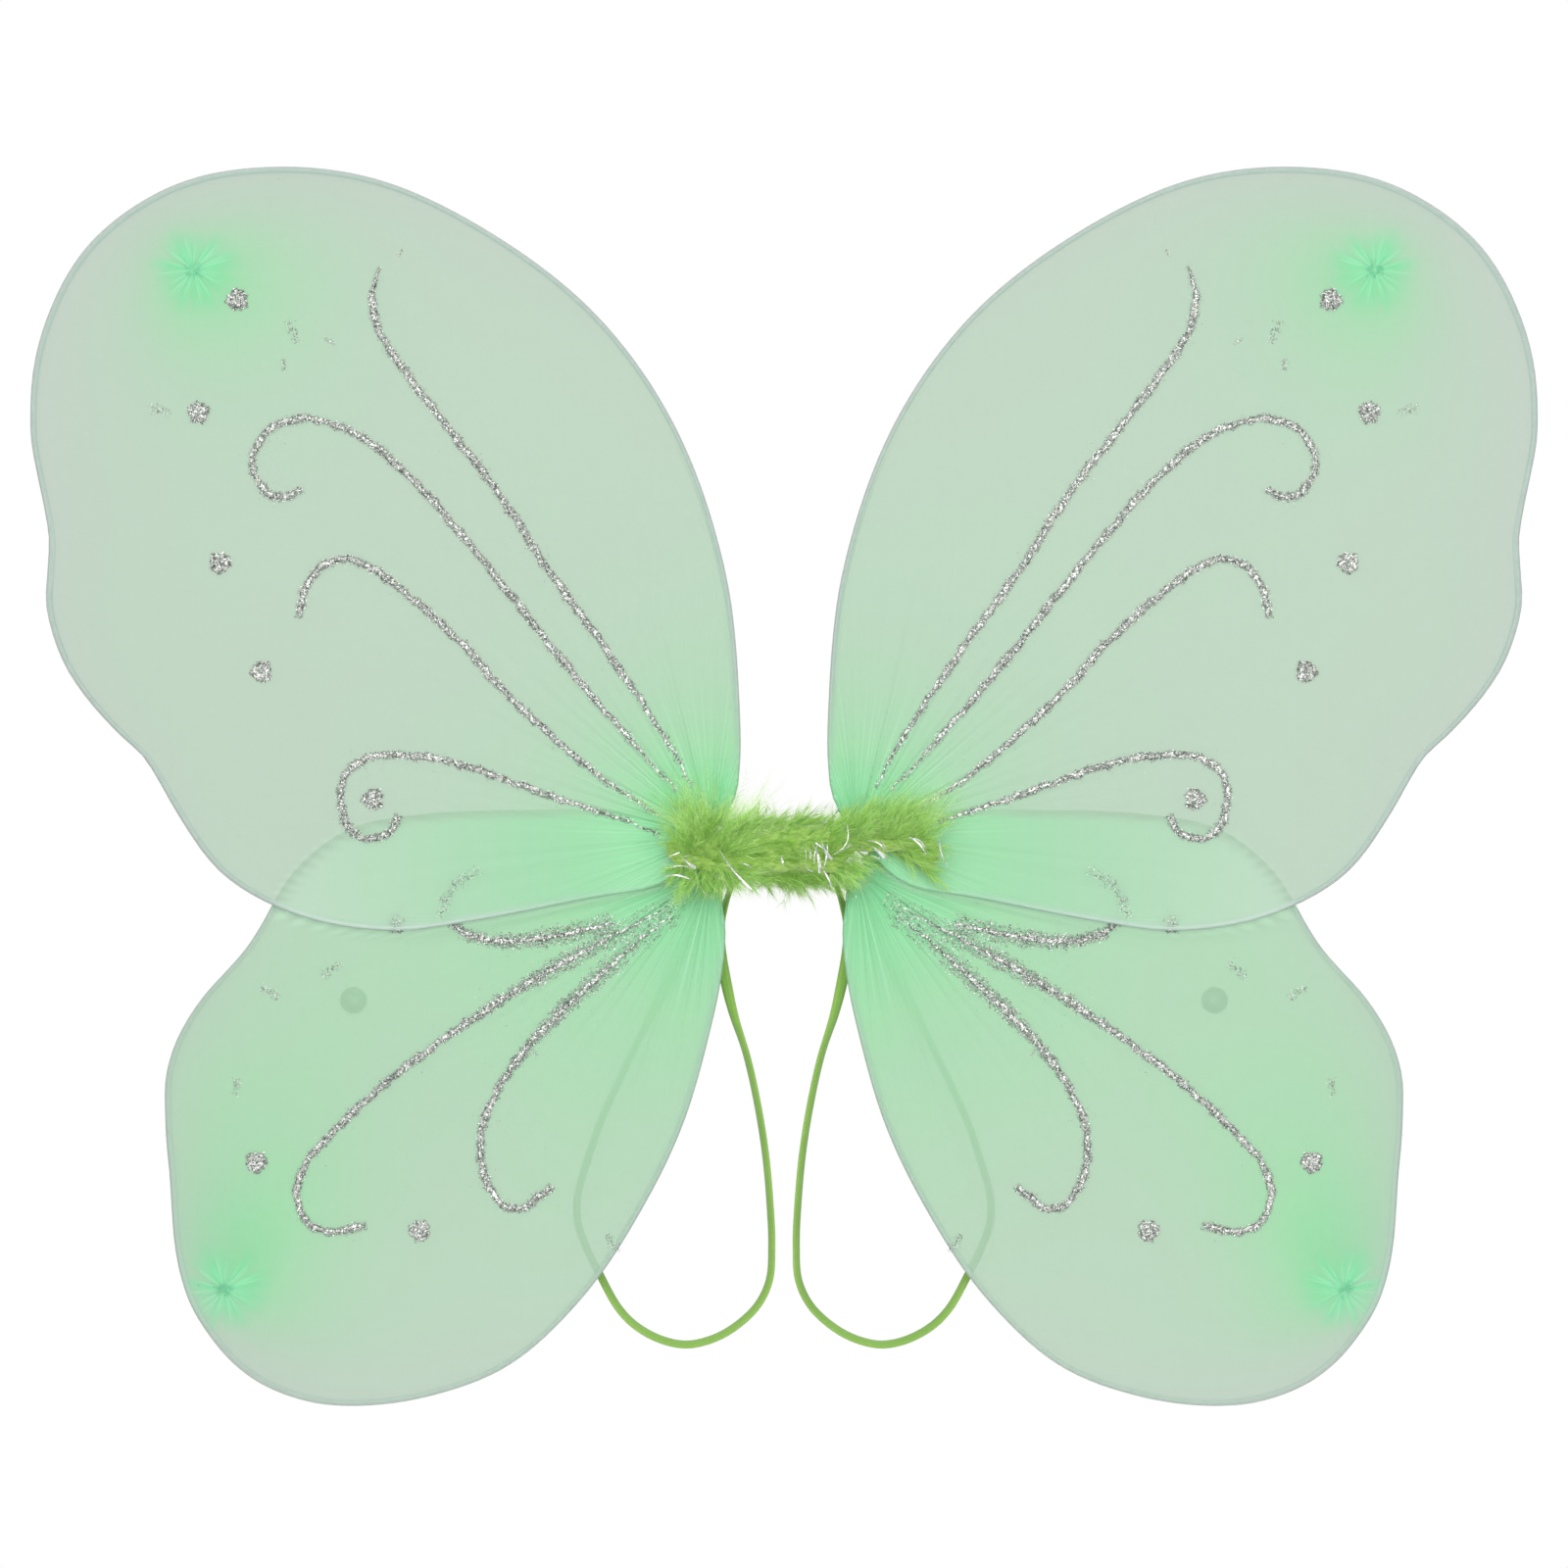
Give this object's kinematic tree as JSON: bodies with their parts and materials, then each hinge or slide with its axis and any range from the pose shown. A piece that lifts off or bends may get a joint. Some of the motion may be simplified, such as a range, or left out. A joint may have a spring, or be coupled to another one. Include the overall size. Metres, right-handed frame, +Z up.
{
  "type": "fairy wings",
  "caption": "Costume fairy wings: wire loops in stretched sheer nylon with glitter scrolls, bound under a feather boa, with elastic shoulder loops.",
  "frame": {"origin": "centre of the flat back of the boa's middle wrap, where it rests between the wearer's shoulder blades", "axes": "+Z up as worn, +Y towards the wearer, -Y out of the glittered side, +X along the spread wings"},
  "size_m": [0.561, 0.0278, 0.4618],
  "materials": {
    "coated_wire": "soft steel wire in a thin pale plastic coat, satin",
    "bare_wire": "twisted wire tails, satin",
    "nylon_hosiery": "sheer knitted nylon stretched tight, pale mint green, deeper where it gathers",
    "gathered_nylon": "hosiery bunched and tied, saturated mint green",
    "binding_thread": "wound nylon thread, matt",
    "binding_tape": "crepe floral tape wound round the wires, matt",
    "marabou": "fluffy marabou down, lime green",
    "tinsel": "narrow mirror foil strands",
    "elastic": "soft braided elastic, lime green",
    "glitter_glue": "silver glitter flakes in clear glue"
  },
  "bodies": {
    "centre": {"upper_wire_twist": "bare_wire", "lower_wire_twist": "bare_wire", "binding_tape": "binding_tape", "marabou_boa": "marabou", "tinsel_strand_left": "tinsel", "tinsel_strand_right": "tinsel", "strap_hitch_left": "elastic", "strap_knot_left": "elastic", "strap_hitch_right": "elastic", "strap_knot_right": "elastic"},
    "lower_wing_left": {"lower_wire_left": "coated_wire", "lower_sleeve_left": "nylon_hosiery", "lower_tip_knot_left": "gathered_nylon", "lower_root_tie_left": "binding_thread", "glitter_hook_left": "glitter_glue", "glitter_long_sweep_left": "glitter_glue", "glitter_short_sweep_left": "glitter_glue", "glitter_dot_lower_1_left": "glitter_glue", "glitter_dot_lower_2_left": "glitter_glue", "glitter_dot_lower_3_left": "glitter_glue"},
    "upper_wing_left": {"upper_wire_left": "coated_wire", "upper_sleeve_left": "nylon_hosiery", "upper_tip_knot_left": "gathered_nylon", "upper_root_tie_left": "binding_thread", "glitter_spear_left": "glitter_glue", "glitter_crook_left": "glitter_glue", "glitter_arch_left": "glitter_glue", "glitter_curl_left": "glitter_glue", "glitter_dot_upper_1_left": "glitter_glue", "glitter_dot_upper_2_left": "glitter_glue", "glitter_dot_upper_3_left": "glitter_glue", "glitter_dot_upper_4_left": "glitter_glue", "glitter_dot_upper_5_left": "glitter_glue"},
    "shoulder_loop_left": {"strap_left": "elastic"},
    "lower_wing_right": {"lower_wire_right": "coated_wire", "lower_sleeve_right": "nylon_hosiery", "lower_tip_knot_right": "gathered_nylon", "lower_root_tie_right": "binding_thread", "glitter_hook_right": "glitter_glue", "glitter_long_sweep_right": "glitter_glue", "glitter_short_sweep_right": "glitter_glue", "glitter_dot_lower_1_right": "glitter_glue", "glitter_dot_lower_2_right": "glitter_glue", "glitter_dot_lower_3_right": "glitter_glue"},
    "upper_wing_right": {"upper_wire_right": "coated_wire", "upper_sleeve_right": "nylon_hosiery", "upper_tip_knot_right": "gathered_nylon", "upper_root_tie_right": "binding_thread", "glitter_spear_right": "glitter_glue", "glitter_crook_right": "glitter_glue", "glitter_arch_right": "glitter_glue", "glitter_curl_right": "glitter_glue", "glitter_dot_upper_1_right": "glitter_glue", "glitter_dot_upper_2_right": "glitter_glue", "glitter_dot_upper_3_right": "glitter_glue", "glitter_dot_upper_4_right": "glitter_glue", "glitter_dot_upper_5_right": "glitter_glue"},
    "shoulder_loop_right": {"strap_right": "elastic"}
  },
  "joints": [
    {"name": "lower_wing_fold_left", "type": "hinge", "parent": "centre", "child": "lower_wing_left", "pos_m": [-0.024, -0.014, 0], "axis": [0, 0, 1], "range_deg": [0, 60], "deforming": ["marabou_boa", "tinsel_strand_left"]},
    {"name": "upper_wing_fold_left", "type": "hinge", "parent": "lower_wing_left", "child": "upper_wing_left", "pos_m": [-0.024, -0.014, 0], "axis": [0, 0, 1], "range_deg": [0, 30]},
    {"name": "shoulder_loop_swing_left", "type": "hinge", "parent": "centre", "child": "shoulder_loop_left", "pos_m": [-0.0198, -0.0043, -0.007], "axis": [1, 0, 0], "range_deg": [0, 90]},
    {"name": "lower_wing_fold_right", "type": "hinge", "parent": "centre", "child": "lower_wing_right", "pos_m": [0.024, -0.014, 0], "axis": [0, 0, -1], "range_deg": [0, 60], "deforming": ["marabou_boa", "tinsel_strand_right"]},
    {"name": "upper_wing_fold_right", "type": "hinge", "parent": "lower_wing_right", "child": "upper_wing_right", "pos_m": [0.024, -0.014, 0], "axis": [0, 0, -1], "range_deg": [0, 30]},
    {"name": "shoulder_loop_swing_right", "type": "hinge", "parent": "centre", "child": "shoulder_loop_right", "pos_m": [0.0198, -0.0043, -0.007], "axis": [1, 0, 0], "range_deg": [0, 90]}
  ]
}
